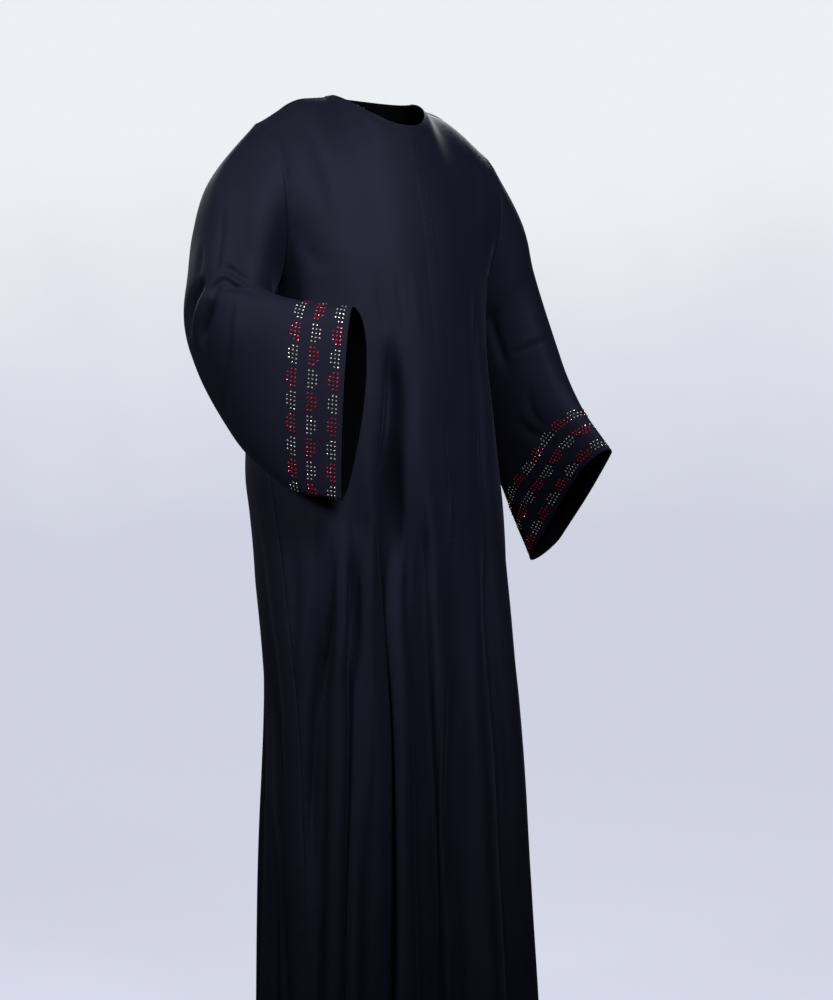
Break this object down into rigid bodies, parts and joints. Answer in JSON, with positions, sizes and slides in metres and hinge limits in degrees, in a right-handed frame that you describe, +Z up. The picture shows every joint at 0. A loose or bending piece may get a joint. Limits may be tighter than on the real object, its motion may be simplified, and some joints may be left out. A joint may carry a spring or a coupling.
{
  "type": "abaya in worn form",
  "caption": "Long loose front-closing robe in navy-black crepe, hollow and shaped as worn, with a round neck and wide bell sleeves with stone-trimmed cuffs",
  "frame": {"origin": "the base of the wearer's neck, midway between the ends of the shoulder seams at the neck", "axes": "+Z up along the wearer's body, the garment's front faces -Y, the wearer's left is +X"},
  "size_m": [0.6355, 0.377, 1.389],
  "materials": {
    "crepe": "matte crepe with a soft sheen",
    "crystal_stone": "faceted, foil backed",
    "red_stone": "faceted, foil backed",
    "thread": "satin sewing thread"
  },
  "bodies": {
    "root": {"front_right": "crepe", "front_left": "crepe", "back": "crepe", "sleeve_right": "crepe", "sleeve_left": "crepe"}
  },
  "joints": []
}
